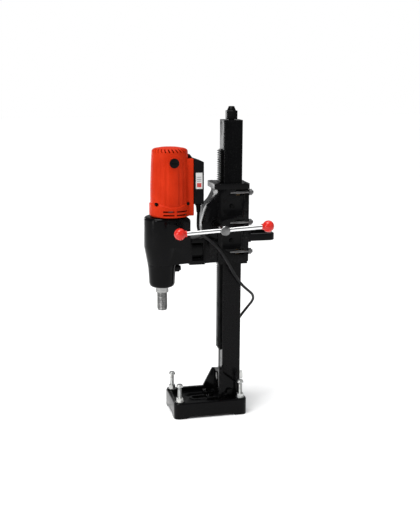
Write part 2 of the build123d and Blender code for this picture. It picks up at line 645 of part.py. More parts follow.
def make_nose():
    outline = [(0, NOSE_TOP), (42, NOSE_TOP), (40, 444), (39, 430), (37.5, 400), (35, 393),
               (31, NOSE_BOTTOM), (0, NOSE_BOTTOM)]
    nose = turned(outline, SPINDLE_Y)
    nose += rod(11, (0, SPINDLE_Y + 25, 441), (0, SPINDLE_Y + 50, 441))
    nose += rod(11, (-25, SPINDLE_Y, 437), (-46, SPINDLE_Y, 437))
    nose -= upright(17.4, 0, SPINDLE_Y, NOSE_BOTTOM - 1, NOSE_TOP + 1)
    nose -= upright(27.5, 0, SPINDLE_Y, 434, NOSE_TOP + 1)
    nose -= upright(24.0, 0, SPINDLE_Y, NOSE_BOTTOM - 1, NOSE_BOTTOM + 9)
    nose -= rod(5.0, (0, SPINDLE_Y + 20, 441), (0, SPINDLE_Y + 60, 441))
    nose -= rod(6.0, (-20, SPINDLE_Y, 437), (-50, SPINDLE_Y, 437))
    for x, y in NOSE_SCREWS:
        nose -= upright(2.9, x, y, NOSE_TOP - 9, NOSE_TOP + 1)
    return nose


def make_nose_screws():
    return Compound(children=[upright(2.9, x, y, NOSE_TOP - 9, NOSE_TOP + 13) for x, y in NOSE_SCREWS])


def make_water_plug():
    body = rod(4.9, (0, SPINDLE_Y + 38, 441), (0, SPINDLE_Y + 50, 441))
    return body + hex_prism(14, (0, SPINDLE_Y + 50, 441), (0, SPINDLE_Y + 55, 441))


def make_water_nipple():
    body = rod(5.9, (-34, SPINDLE_Y, 437), (-46, SPINDLE_Y, 437))
    body += hex_prism(17, (-46, SPINDLE_Y, 437), (-53, SPINDLE_Y, 437))
    body += rod(6.5, (-53, SPINDLE_Y, 437), (-76, SPINDLE_Y, 437))
    for x in (-58, -64, -70):
        body += rod(7.4, (x, SPINDLE_Y, 437), (x - 2, SPINDLE_Y, 437))
    return body - rod(3.5, (-40, SPINDLE_Y, 437), (-77, SPINDLE_Y, 437))


def make_oil_seal():
    return tube(23.9, 17.05, (0, SPINDLE_Y, NOSE_BOTTOM + 1), (0, SPINDLE_Y, NOSE_BOTTOM + 9))


def make_spindle_bearings():
    low = tube(27.4, 17.05, (0, SPINDLE_Y, 436), (0, SPINDLE_Y, 452))
    middle = tube(23.5, 15.05, (0, SPINDLE_Y, 466), (0, SPINDLE_Y, 482))
    return Compound(children=[low, middle])


def make_spindle():
    steps = [(17.0, NOSE_BOTTOM + 12, 456), (15.0, 456, 540), (10.0, 540, 560)]
    spindle = upright(17.0, 0, SPINDLE_Y, NOSE_BOTTOM - 2, NOSE_BOTTOM + 12)
    for radius, z0, z1 in steps:
        spindle += upright(radius, 0, SPINDLE_Y, z0, z1)
    spindle += upright(19.0, 0, SPINDLE_Y, SPINDLE_SHOULDER_Z, NOSE_BOTTOM - 2)
    stub = upright(SPINDLE_THREAD / 2, 0, SPINDLE_Y, SPINDLE_TIP_Z, SPINDLE_SHOULDER_Z)
    stub = chamfer(stub.edges().group_by(Axis.Z)[0], 2.5)
    return spindle + stub - upright(6.0, 0, SPINDLE_Y, SPINDLE_TIP_Z - 1, 445)


def make_layshaft():
    shaft = upright(6.0, 0, LAYSHAFT_Y, 514, 588)
    return shaft + gear(2.0, 12, 5.0, 530, 556, LAYSHAFT_Y, 0.08, -math.pi / 2)


def make_armature():
    shaft = upright(6.0, 0, MOTOR_Y, 600, 772)
    core = upright(27.0, 0, MOTOR_Y, 642, 712)
    commutator = upright(15.0, 0, MOTOR_Y, BRUSH_Z - 12, BRUSH_Z + 12)
    pinion_shaft = upright(4.0, 0, MOTOR_Y, 562, 602)
    pinion = gear(1.0, 12, 3.0, 562, 578, MOTOR_Y, 0.05, math.pi / 12 + math.pi / 2)
    return shaft + core + commutator + pinion_shaft + pinion


def make_fan():
    fan = tube(44, 6.0, (0, MOTOR_Y, 618), (0, MOTOR_Y, 620))
    fan += tube(12, 6.0, (0, MOTOR_Y, 618), (0, MOTOR_Y, 632))
    for step in range(12):
        blade = Pos(0, MOTOR_Y, 0) * Rot(0, 0, 30 * step) * block(11, 43, -1, 1, 619, 631)
        fan += blade
    return fan


def make_stator():
    return tube(44.0, 28.2, (0, MOTOR_Y, 640), (0, MOTOR_Y, 714))


def make_armature_bearings():
    low = tube(14.0, 6.05, (0, MOTOR_Y, 604), (0, MOTOR_Y, 614))
    high = tube(11.0, 6.05, (0, MOTOR_Y, 764), (0, MOTOR_Y, 771))
    gear_end = tube(11.9, 4.05, (0, MOTOR_Y, 584), (0, MOTOR_Y, 594))
    lay_low = tube(11.0, 6.05, (0, LAYSHAFT_Y, 515), (0, LAYSHAFT_Y, 522))
    lay_high = tube(11.0, 6.05, (0, LAYSHAFT_Y, 581), (0, LAYSHAFT_Y, 588))
    return Compound(children=[low, high, gear_end, lay_low, lay_high])


# ---- motor --------------------------------------------------------------------------------
def motor_shell(inset):
    low = MOTOR_BAND_R - inset
    outline = [(0, MOTOR_BOTTOM), (low - 3, MOTOR_BOTTOM), (low, MOTOR_BOTTOM + 5), (low, MOTOR_BAND_TOP - 4)]
    outline += [(MOTOR_R_LOW - inset, MOTOR_BAND_TOP + 2), (MOTOR_R_TOP - inset, MOTOR_RIM), (0, MOTOR_RIM)]
    body = turned(outline, MOTOR_Y)
    half = REAR_HALF - inset
    return body + block(-half, half, MOTOR_Y, BOX_FRONT - inset, MOTOR_BOTTOM + 2 + inset, REAR_TOP - inset)


def make_motor_housing():
    heel = [(BOX_FRONT - 10, MOTOR_BOTTOM), (BOX_FRONT + 1, MOTOR_BOTTOM + 11), (BOX_FRONT + 1, MOTOR_BOTTOM)]
    body = motor_shell(0) - motor_shell(MOTOR_WALL) - side_profile(heel, REAR_HALF + 2)
    floor = upright(MOTOR_BAND_R - 3.2, 0, MOTOR_Y, MOTOR_BOTTOM, MOTOR_BOTTOM + 5)
    seat = upright(17, 0, MOTOR_Y, MOTOR_BOTTOM, 614) - upright(14.0, 0, MOTOR_Y, 604, 620)
    body += floor + seat
    body -= upright(8, 0, MOTOR_Y, MOTOR_BOTTOM - 1, 605)
    roof = turned([(0, 758), (50, 758), (50, 762), (0, 762)], MOTOR_Y) - upright(20, 0, MOTOR_Y, 750, 790)
    body += roof - block(-60, 60, -62, 0, 750, 790)
    for side in (-1, 1):
        body += rod(BRUSH_CAP + 3.5, (side * 44, BRUSH_Y, BRUSH_Z), (side * 54.5, BRUSH_Y, BRUSH_Z))
        body -= rod(BRUSH_CAP + 0.1, (side * 30, BRUSH_Y, BRUSH_Z), (side * 60, BRUSH_Y, BRUSH_Z))
        for y in (-122, -83):
            for z in (605, 615):
                x0, x1 = sorted((side * 30, side * 62))
                body -= block(x0, x1, y - 16, y + 16, z - 2.4, z + 2.4)
        for y in (-153, -62):
            x0, x1 = sorted((side * 22, side * 60))
            body -= block(x0, x1, y - 6, y + 6, 628, 641)
    return body


def make_motor_cap():
    rim = MOTOR_R_TOP
    outside = [(0, MOTOR_RIM), (rim, MOTOR_RIM), (rim - 1, MOTOR_RIM + 3), (rim - 9, 788)]
    outside += [(rim - 24, MOTOR_CROWN), (0, MOTOR_CROWN + 1)]
    cap = turned(outside, MOTOR_Y)
    cap -= turned([(0, MOTOR_RIM - 1), (rim - 4, MOTOR_RIM - 1), (rim - 12, 785), (rim - 26, MOTOR_CROWN - 3),
                   (0, MOTOR_CROWN - 3)], MOTOR_Y)
    for step in range(24):
        slot = block(rim - 8, rim + 2, -1.8, 1.8, MOTOR_RIM + 1.5, MOTOR_RIM + 9)
        cap -= Pos(0, MOTOR_Y, 0) * Rot(0, 0, 15 * step) * slot
    return cap


def make_brush_caps():
    caps = []
    for side in (-1, 1):
        cap = rod(BRUSH_CAP, (side * 48, BRUSH_Y, BRUSH_Z), (side * 56, BRUSH_Y, BRUSH_Z))
        slot0, slot1 = sorted((side * 54.5, side * 57))
        cap -= block(slot0, slot1, BRUSH_Y - 9, BRUSH_Y + 9, BRUSH_Z - 1, BRUSH_Z + 1)
        caps.append(cap)
    return Compound(children=caps)


def make_brushes():
    brushes = []
    for side in (-1, 1):
        x0, x1 = sorted((side * 15.3, side * 47.5))
        brushes.append(block(x0, x1, BRUSH_Y - 3.5, BRUSH_Y + 3.5, BRUSH_Z - 6, BRUSH_Z + 6))
    return Compound(children=brushes)


# ---- control box --------------------------------------------------------------------------
def box_profile(inset):
    return [(BOX_FRONT + inset, BOX_BOTTOM + inset), (BOX_BACK - inset, BOX_BOTTOM + inset),
            (BOX_BACK - inset, BOX_TOP_BACK - inset), (BOX_FRONT + inset, BOX_TOP_FRONT - inset)]


def make_control_box():
    box = side_profile(box_profile(0), BOX_HALF)
    box = soften(box, 3.0, box.edges().filter_by(Axis.X))
    box -= side_profile(box_profile(3.0), BOX_HALF - 3)
    box -= block(BOX_HALF - 2, BOX_HALF + 1, BOX_FRONT - 1, BOX_BACK + 1, BOX_BOTTOM - 1, BOX_TOP_FRONT + 1)
    box -= upright(6.0, GLAND_X, GLAND_Y, BOX_BOTTOM - 1, BOX_BOTTOM + 5)
    box -= block(-12, 12, BOX_BACK - 5, BOX_BACK + 1, ROCKER_Z - 12, ROCKER_Z + 12)
    return box


def make_box_cover():
    cover = Pos(BOX_HALF + 1, 0, 0) * side_profile(box_profile(0.3), 3)
    return soften(cover, 1.2, cover.faces().sort_by(Axis.X)[-1].edges())


def make_label():
    return block(BOX_HALF + 4, BOX_HALF + 4.8, BOX_FRONT + 5, BOX_BACK - 5, 676, 722)


def make_box_bracket():
    """Small triangular tie on top of the rear of the motor."""
    back = BOX_FRONT - 1
    return side_profile([(-56, REAR_TOP), (back, REAR_TOP), (back, REAR_TOP + 3), (-51, 772), (-56, 772)], 9)


def make_rocker():
    half = 10.5
    points = [(-0.4, -half), (3.6, -half), (2.2, 0), (3.6, half), (-0.4, half), (-3.2, 0)]
    return side_profile([(BOX_BACK + y, ROCKER_Z + z) for y, z in points], 8)


def make_rocker_bezel():
    bezel = block(-11.9, 11.9, BOX_BACK - 4.5, BOX_BACK + 1.5, ROCKER_Z - 11.9, ROCKER_Z + 11.9)
    return bezel - block(-8.6, 8.6, BOX_BACK - 6, BOX_BACK + 2, ROCKER_Z - 11.2, ROCKER_Z + 11.2)


def make_gland():
    nut = hex_prism(18, (GLAND_X, GLAND_Y, BOX_BOTTOM - 7), (GLAND_X, GLAND_Y, BOX_BOTTOM))
    stem = upright(5.9, GLAND_X, GLAND_Y, BOX_BOTTOM, BOX_BOTTOM + 5)
    tip = Vector(*CORD_ROUTE[0])
    direction = (Vector(*CORD_ROUTE[1]) - tip).normalized()
    plane = Plane(origin=tip, z_dir=direction)
    top = Plane(origin=(GLAND_X, GLAND_Y, BOX_BOTTOM - 7), z_dir=(0, 0, -1))
    sleeve = loft([top * Circle(7.6), plane * Circle(5.2)])
    return nut + stem + sleeve


# ---- mains cord ---------------------------------------------------------------------------
def route_radii(route):
    radii = []
    for before, point, after in zip(route, route[1:], route[2:]):
        incoming = Vector(*point) - Vector(*before)
        outgoing = Vector(*after) - Vector(*point)
        half_turn = math.radians(incoming.get_angle(outgoing)) / 2
        radii.append(0.45 * min(incoming.length, outgoing.length) / math.tan(half_turn))
    return radii


def make_cord():
    radii = route_radii(CORD_ROUTE)
    path = FilletPolyline(*CORD_ROUTE, radius=radii)
    start = Plane(origin=CORD_ROUTE[0], z_dir=Vector(*CORD_ROUTE[1]) - Vector(*CORD_ROUTE[0]))
    cord = sweep(start * Circle(CORD / 2), path=path)
    section = math.pi * (CORD / 2) ** 2
    print("cord radii", [round(radius, 1) for radius in radii])
    print("cord length", round(path.length, 1), "volume ratio", round(cord.volume / (section * path.length), 4))
    return cord


def make_coil():
    x, y = COIL_CENTRE
    width = COIL_TURNS_WIDE * CORD / 2
    return tube(COIL_MEAN_RADIUS + width, COIL_MEAN_RADIUS - width, (x, y, 0), (x, y, COIL_HEIGHT))


def make_plug():
    """Plug lying on the floor beside the coil, with its pins towards the front."""
    shoulder = PLUG_NECK_Y - PLUG_TAPER
    face = shoulder - PLUG_GRIP
    body = rod(PLUG_RADIUS, (PLUG_X, shoulder, PLUG_RADIUS), (PLUG_X, face, PLUG_RADIUS))
    back = Plane(origin=(PLUG_X, shoulder, PLUG_RADIUS), z_dir=(0, 1, 0)) * Circle(PLUG_RADIUS)
    neck = Plane(origin=(PLUG_X, PLUG_NECK_Y, PLUG_NECK_Z), z_dir=(0, 1, 0)) * Circle(PLUG_NECK_RADIUS)
    body += loft([back, neck])
    for side in (-1, 1):
        x = PLUG_X + side * PLUG_PIN_SPACING / 2
        body += rod(2.4, (x, face + 1, PLUG_RADIUS), (x, face - PLUG_PIN, PLUG_RADIUS))
    return body


# ---- assembly -----------------------------------------------------------------------------
keep("base", make_base())
for number, (screw_x, screw_y) in enumerate(corners(LEVEL_X, LEVEL_Y), 1):
    keep(f"levelling_screw_{number}", make_levelling_screw(screw_x, screw_y))
keep("lock_nuts", make_lock_nuts())
keep("column", make_column())
keep("rack", make_rack())
keep("rack_screws", make_rack_screws())
keep("column_bracket", make_bracket())
keep("bracket_bolts", make_bracket_bolts())
keep("back_bolt", make_back_bolt())
keep("column_cap", make_column_cap())
keep("jack_screw", make_jack_screw())
keep("carriage", make_carriage())
keep("clamp_plate", make_clamp_plate())
keep("clamp_bolts", make_clamp_bolts())
keep("top_plate", make_top_plate())
keep("top_plate_screws", make_top_plate_screws())
keep("bottom_wiper", make_bottom_wiper())
keep("guide_shoes", make_guide_shoes())
keep("carriage_screws", make_carriage_screws())
keep("carry_handle", make_carry_handle())
keep("bushes", make_bushes())
keep("pinion_shaft", make_pinion_shaft())
keep("shaft_collars", make_shaft_collar())
keep("handle_hub", make_handle_hub())
keep("handle_bar", make_handle_bar())
keep("handle_knobs", make_handle_knobs())
keep("gearbox_housing", make_gearbox())
keep("neck", make_neck())
keep("neck_bolts", make_neck_bolts())
keep("nose_housing", make_nose())
keep("nose_screws", make_nose_screws())
keep("screw_plugs", Compound(children=[make_oil_plug(), make_water_plug()]))
keep("water_nipple", make_water_nipple())
keep("oil_seal", make_oil_seal())
keep("spindle_bearings", make_spindle_bearings())
keep("spindle", make_spindle())
keep("spindle_gear", gear(2.0, 36, 15.0, 532, 554, SPINDLE_Y, 0.08, math.pi / 2 + math.pi / 36))
keep("layshaft", make_layshaft())
keep("layshaft_gear", gear(1.0, 36, 6.0, 564, 576, LAYSHAFT_Y, 0.05, -math.pi / 2))
keep("armature", make_armature())
keep("fan", make_fan())
keep("stator", make_stator())
keep("motor_bearings", make_armature_bearings())
keep("motor_housing", make_motor_housing())
keep("motor_cap", make_motor_cap())
keep("brush_caps", make_brush_caps())
keep("brushes", make_brushes())
keep("control_box", make_control_box())
keep("box_cover", make_box_cover())
keep("box_label", make_label())
keep("box_bracket", make_box_bracket())
keep("rocker_bezel", make_rocker_bezel())
keep("rocker_switch", make_rocker())
keep("cable_gland", make_gland())
keep("cord", make_cord())
keep("cord_coil", make_coil())
keep("plug", make_plug())

os.makedirs("parts", exist_ok=True)
for name, shape in PARTS.items():
    export_step(shape, f"parts/{name}.step")
print(len(PARTS), "parts")
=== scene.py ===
import json
import math

import bmesh
import bpy
from mathutils import Matrix, Vector

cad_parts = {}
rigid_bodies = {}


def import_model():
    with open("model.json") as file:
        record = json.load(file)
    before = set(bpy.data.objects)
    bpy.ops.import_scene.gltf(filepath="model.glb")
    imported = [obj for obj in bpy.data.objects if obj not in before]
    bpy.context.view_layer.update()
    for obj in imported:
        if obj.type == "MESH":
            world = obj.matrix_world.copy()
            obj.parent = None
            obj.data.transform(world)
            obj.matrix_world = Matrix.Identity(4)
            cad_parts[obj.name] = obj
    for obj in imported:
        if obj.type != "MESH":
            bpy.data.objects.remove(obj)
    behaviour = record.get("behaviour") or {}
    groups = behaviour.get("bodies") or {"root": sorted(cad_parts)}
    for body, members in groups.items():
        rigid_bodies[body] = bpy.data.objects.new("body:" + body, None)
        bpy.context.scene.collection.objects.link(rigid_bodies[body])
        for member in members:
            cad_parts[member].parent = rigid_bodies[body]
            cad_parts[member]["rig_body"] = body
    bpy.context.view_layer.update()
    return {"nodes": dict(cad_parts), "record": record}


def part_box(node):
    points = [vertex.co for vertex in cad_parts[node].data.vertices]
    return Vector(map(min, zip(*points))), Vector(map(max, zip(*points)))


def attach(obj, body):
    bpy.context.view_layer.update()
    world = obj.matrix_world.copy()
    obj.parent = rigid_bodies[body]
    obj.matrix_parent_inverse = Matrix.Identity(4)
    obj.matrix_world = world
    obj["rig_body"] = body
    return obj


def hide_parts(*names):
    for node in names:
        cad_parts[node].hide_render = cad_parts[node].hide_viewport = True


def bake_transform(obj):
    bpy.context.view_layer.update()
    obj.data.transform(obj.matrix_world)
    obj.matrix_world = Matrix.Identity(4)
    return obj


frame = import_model()
NODES = frame["nodes"]
TAU = 2 * math.pi


# ---- places taken from the frame ------------------------------------------------------------
def centre(node):
    low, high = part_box(node)
    return (low + high) / 2


SPINDLE_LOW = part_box("spindle")[0]
SPINDLE_Y = centre("spindle").y
COIL = centre("cord_coil")
PLUG_LOW, PLUG_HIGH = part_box("plug")


# ---- camera -----------------------------------------------------------------------------------
CAMERA_PLACE = Vector((2.5634, -0.6074, 1.0351))
CAMERA_YAW = math.radians(13.5)
CAMERA_DIP = math.radians(12.59)
CAMERA_ROLL = math.radians(0.3)
CAMERA_LENS = 62.65
CAMERA_SHIFT = (0.0022, 0.0013)


def make_camera():
    data = bpy.data.cameras.new("camera")
    data.lens = CAMERA_LENS
    data.sensor_width = 36
    data.shift_x, data.shift_y = CAMERA_SHIFT
    data.clip_start = 0.05
    data.clip_end = 100
    camera = bpy.data.objects.new("camera", data)
    bpy.context.scene.collection.objects.link(camera)
    look = Vector((-math.cos(CAMERA_YAW) * math.cos(CAMERA_DIP),
                   math.sin(CAMERA_YAW) * math.cos(CAMERA_DIP),
                   -math.sin(CAMERA_DIP)))
    roll = Matrix.Rotation(-CAMERA_ROLL, 4, look)
    turn = roll @ look.to_track_quat("-Z", "Y").to_matrix().to_4x4()
    camera.matrix_world = Matrix.Translation(CAMERA_PLACE) @ turn
    bpy.context.scene.camera = camera


make_camera()


# ---- mesh helpers -----------------------------------------------------------------------------
def add_object(name, mesh, material=None):
    piece = bpy.data.objects.new(name, mesh)
    bpy.context.scene.collection.objects.link(piece)
    if material is not None:
        mesh.materials.clear()
        mesh.materials.append(material)
    return piece


def mesh_from(name, verts, faces, smooth=True):
    mesh = bpy.data.meshes.new(name)
    mesh.from_pydata(verts, [], faces)
    mesh.validate()
    if smooth:
        mesh.shade_smooth()
    mesh.update()
    return mesh


def tube_along(points, radius, sides=16):
    """Vertices and faces of a closed tube whose section is carried along the points without twisting."""
    points = [Vector(p) for p in points]
    verts, faces = [], []
    tangent = (points[1] - points[0]).normalized()
    across = tangent.orthogonal().normalized()
    last = len(points) - 1
    for index, point in enumerate(points):
        ahead = points[min(index + 1, last)] - points[max(index - 1, 0)]
        ahead.normalize()
        across = (across - across.dot(ahead) * ahead).normalized()
        up = ahead.cross(across)
        here = radius(index / last) if callable(radius) else radius
        for side in range(sides):
            angle = TAU * side / sides
            verts.append(point + here * (math.cos(angle) * across + math.sin(angle) * up))
    for ring in range(last):
        for side in range(sides):
            a = ring * sides + side
            b = ring * sides + (side + 1) % sides
            faces.append((a, b, b + sides, a + sides))
    faces.append(tuple(reversed(range(sides))))
    faces.append(tuple(last * sides + side for side in range(sides)))
    return verts, faces


# ---- mains cord -------------------------------------------------------------------------------
CORD_DIAMETER = 0.008
CORD_ROUTE = [
    (0.004, -0.025, 0.604),
    (0.0055, -0.0265, 0.583),
    (0.0155, -0.029, 0.5645),
    (0.033, -0.029, 0.552),
    (0.051, -0.020, 0.542),
    (0.063, -0.001, 0.529),
    (0.068, 0.027, 0.501),
    (0.067, 0.050, 0.463),
    (0.059, 0.072, 0.424),
    (0.043, 0.098, 0.390),
    (0.022, 0.124, 0.367),
    (-0.004, 0.146, 0.347),
    (-0.036, 0.156, 0.322),
    (-0.066, 0.144, 0.290),
    (-0.084, 0.120, 0.248),
    (-0.093, 0.099, 0.196),
    (-0.093, 0.087, 0.142),
    (-0.091, 0.081, 0.098),
    (-0.092, 0.074, 0.066),
    (-0.098, 0.066, 0.043),
    (-0.110, 0.0585, 0.029),
    (-0.127, 0.0525, 0.0195),
]
COIL_LANES = (0.0385, 0.0460)
COIL_ORDER = (0, 1, 1, 0, 0, 1)
COIL_START = -75.0
COIL_SWEEP = 2085.0
COIL_POINTS_PER_TURN = 16
COIL_SHIFT = 0.2
PLUG_NECK = (PLUG_LOW.x + PLUG_HIGH.x) / 2
TAIL = [
    (PLUG_NECK - 0.0003, 0.076, 0.0046),
    (PLUG_NECK, 0.066, 0.0062),
    (PLUG_NECK, 0.058, 0.0084),
]


def coil_point(turned):
    """Point on the coil after so many degrees; each change of lane takes the last fifth of a turn."""
    turn = min(int(turned // 360), len(COIL_ORDER) - 1)
    following = min(turn + 1, len(COIL_ORDER) - 1)
    part = max(0.0, (turned / 360 - turn - 1 + COIL_SHIFT) / COIL_SHIFT)
    part = part * part * (3 - 2 * part)
    radius = COIL_LANES[COIL_ORDER[turn]] * (1 - part) + COIL_LANES[COIL_ORDER[following]] * part
    layer = (2 - turn // 2) * (1 - part) + (2 - following // 2) * part
    angle = math.radians(COIL_START - turned)
    height = CORD_DIAMETER * (layer + 0.5)
    return (COIL.x + radius * math.cos(angle), COIL.y + radius * math.sin(angle), height)


def smooth_line(points, name):
    """Points read from a NURBS spline of order 3 that has these control points."""
    curve = bpy.data.curves.new(name, "CURVE")
    curve.dimensions = "3D"
    curve.resolution_u = 6
    spline = curve.splines.new("NURBS")
    spline.points.add(len(points) - 1)
    for place, point in zip(spline.points, points):
        place.co = (*point, 1.0)
    spline.order_u = 3
    spline.use_endpoint_u = True
    holder = bpy.data.objects.new(name, curve)
    bpy.context.scene.collection.objects.link(holder)
    bpy.context.view_layer.update()
    line = bpy.data.meshes.new_from_object(holder)
    read = [vertex.co.copy() for vertex in line.vertices]
    bpy.data.objects.remove(holder)
    bpy.data.curves.remove(curve)
    bpy.data.meshes.remove(line)
    return read


coil_steps = int(COIL_SWEEP / 360 * COIL_POINTS_PER_TURN)
coil_points = [coil_point(COIL_SWEEP * (step + 1) / coil_steps) for step in range(coil_steps)]
cord_line = smooth_line(CORD_ROUTE + coil_points + TAIL, "cord_line")
cord_verts, cord_faces = tube_along(cord_line, CORD_DIAMETER / 2, 14)
mains_cord = add_object("mains_cord", mesh_from("mains_cord", cord_verts, cord_faces))
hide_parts("cord", "cord_coil")
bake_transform(mains_cord)


# ---- materials --------------------------------------------------------------------------------
def new_material(name):
    material = bpy.data.materials.new(name)
    material.use_nodes = True
    tree = material.node_tree
    return material, tree, tree.nodes["Principled BSDF"]


def noise(tree, scale, detail=3.0, stretch=(1, 1, 1)):
    place = tree.nodes.new("ShaderNodeTexCoord")
    mapping = tree.nodes.new("ShaderNodeMapping")
    mapping.inputs["Scale"].default_value = stretch
    texture = tree.nodes.new("ShaderNodeTexNoise")
    texture.inputs["Scale"].default_value = scale
    texture.inputs["Detail"].default_value = detail
    tree.links.new(place.outputs["Object"], mapping.inputs["Vector"])
    tree.links.new(mapping.outputs["Vector"], texture.inputs["Vector"])
    return texture.outputs["Fac"]


def ramp(tree, source, stops):
    node = tree.nodes.new("ShaderNodeValToRGB")
    while len(node.color_ramp.elements) < len(stops):
        node.color_ramp.elements.new(0.5)
    for element, (place, colour) in zip(node.color_ramp.elements, stops):
        element.position = place
        element.color = (*colour, 1)
    tree.links.new(source, node.inputs["Fac"])
    return node.outputs["Color"]


def spread(tree, source, low, high):
    node = tree.nodes.new("ShaderNodeMapRange")
    node.inputs["From Min"].default_value = 0.3
    node.inputs["From Max"].default_value = 0.7
    node.inputs["To Min"].default_value = low
    node.inputs["To Max"].default_value = high
    tree.links.new(source, node.inputs["Value"])
    return node.outputs["Result"]


def bumped(tree, shader, source, depth, strength=0.5, edge=0.0):
    """Fine relief from a texture; a radius for the edge also rounds sharp edges in the shading."""
    bump = tree.nodes.new("ShaderNodeBump")
    bump.inputs["Distance"].default_value = depth
    bump.inputs["Strength"].default_value = strength
    tree.links.new(source, bump.inputs["Height"])
    if edge:
        bevel = tree.nodes.new("ShaderNodeBevel")
        bevel.samples = 4
        bevel.inputs["Radius"].default_value = edge
        tree.links.new(bevel.outputs["Normal"], bump.inputs["Normal"])
    tree.links.new(bump.outputs["Normal"], shader.inputs["Normal"])


def worn_edges(tree, colour, wear, amount):
    """Mix the wear colour in where the surface is sharply convex and the paint is thin."""
    geometry = tree.nodes.new("ShaderNodeNewGeometry")
    edge = ramp(tree, geometry.outputs["Pointiness"], ((0.52, (0, 0, 0)), (0.62, (1, 1, 1))))
    patches = ramp(tree, noise(tree, 180, 5), ((0.5, (0, 0, 0)), (0.68, (1, 1, 1))))
    both = tree.nodes.new("ShaderNodeMath")
    both.operation = "MULTIPLY"
    tree.links.new(edge, both.inputs[0])
    tree.links.new(patches, both.inputs[1])
    part = tree.nodes.new("ShaderNodeMath")
    part.operation = "MULTIPLY"
    part.inputs[1].default_value = amount
    tree.links.new(both.outputs[0], part.inputs[0])
    mix = tree.nodes.new("ShaderNodeMix")
    mix.data_type = "RGBA"
    mix.inputs["B"].default_value = (*wear, 1)
    tree.links.new(part.outputs[0], mix.inputs["Factor"])
    tree.links.new(colour, mix.inputs["A"])
    return mix.outputs["Result"]


def paint(name, dark, light, rough, grain, depth, edge=0.0008, wear=0.10):
    """Enamel over metal: slight colour drift, orange peel or cast grain, and thin paint at the edges."""
    material, tree, shader = new_material(name)
    colour = ramp(tree, noise(tree, 14, 4), ((0.35, dark), (0.65, light)))
    colour = worn_edges(tree, colour, (0.10, 0.10, 0.097), wear)
    tree.links.new(colour, shader.inputs["Base Color"])
    tree.links.new(spread(tree, noise(tree, 60, 4), rough - 0.05, rough + 0.07), shader.inputs["Roughness"])
    bumped(tree, shader, noise(tree, grain, 2.5), depth, 0.45, edge)
    shader.inputs["Specular IOR Level"].default_value = 0.08
    return material


def metal(name, dark, light, rough, stretch=(1, 1, 1), grain=500, depth=0.00004, edge=0.0005):
    """Bare or plated metal, with machining lines where the texture is stretched."""
    material, tree, shader = new_material(name)
    colour = ramp(tree, noise(tree, 45, 5, stretch), ((0.3, dark), (0.7, light)))
    sheen = spread(tree, noise(tree, 90, 5, stretch), rough - 0.06, rough + 0.08)
    tree.links.new(colour, shader.inputs["Base Color"])
    tree.links.new(sheen, shader.inputs["Roughness"])
    bumped(tree, shader, noise(tree, grain, 3, stretch), depth, 0.5, edge)
    shader.inputs["Metallic"].default_value = 1.0
    return material


def plastic(name, dark, light, rough, grain, depth, coat=0.0, edge=0.0006, gloss=0.12):
    """Moulded plastic or rubber with a fine spark texture."""
    material, tree, shader = new_material(name)
    tree.links.new(ramp(tree, noise(tree, 22, 3), ((0.35, dark), (0.65, light))), shader.inputs["Base Color"])
    tree.links.new(spread(tree, noise(tree, 130, 3), rough - 0.04, rough + 0.05), shader.inputs["Roughness"])
    bumped(tree, shader, noise(tree, grain, 2), depth, 0.4, edge)
    shader.inputs["Specular IOR Level"].default_value = gloss
    shader.inputs["Coat Weight"].default_value = coat
    shader.inputs["Coat Roughness"].default_value = 0.05
    return material


def printed_label():
    """White film with plain grey bars above and one red block below; there is no lettering."""
    material, tree, shader = new_material("label_white")
    place = tree.nodes.new("ShaderNodeTexCoord")
    split = tree.nodes.new("ShaderNodeSeparateXYZ")
    tree.links.new(place.outputs["Generated"], split.inputs["Vector"])
    film = (0.60, 0.60, 0.59)
    red = (0.46, 0.035, 0.03)
    grey = (0.16, 0.16, 0.17)
    block = ((0, film), (0.10, red), (0.36, film))
    bars = ((0.46, grey), (0.50, film), (0.57, grey), (0.61, film), (0.70, grey), (0.74, film), (0.86, film))
    printed = ramp(tree, split.outputs["Z"], block + bars)
    margin = ramp(tree, split.outputs["Y"], ((0, (0, 0, 0)), (0.16, (1, 1, 1)), (0.84, (0, 0, 0))))
    for node in tree.nodes:
        if node.bl_idname == "ShaderNodeValToRGB":
            node.color_ramp.interpolation = "CONSTANT"
    mix = tree.nodes.new("ShaderNodeMix")
    mix.data_type = "RGBA"
    mix.inputs["A"].default_value = (*film, 1)
    tree.links.new(margin, mix.inputs["Factor"])
    tree.links.new(printed, mix.inputs["B"])
    tree.links.new(mix.outputs["Result"], shader.inputs["Base Color"])
    tree.links.new(spread(tree, noise(tree, 130, 3), 0.30, 0.38), shader.inputs["Roughness"])
    bumped(tree, shader, noise(tree, 400, 2), 0.00002)
    return material


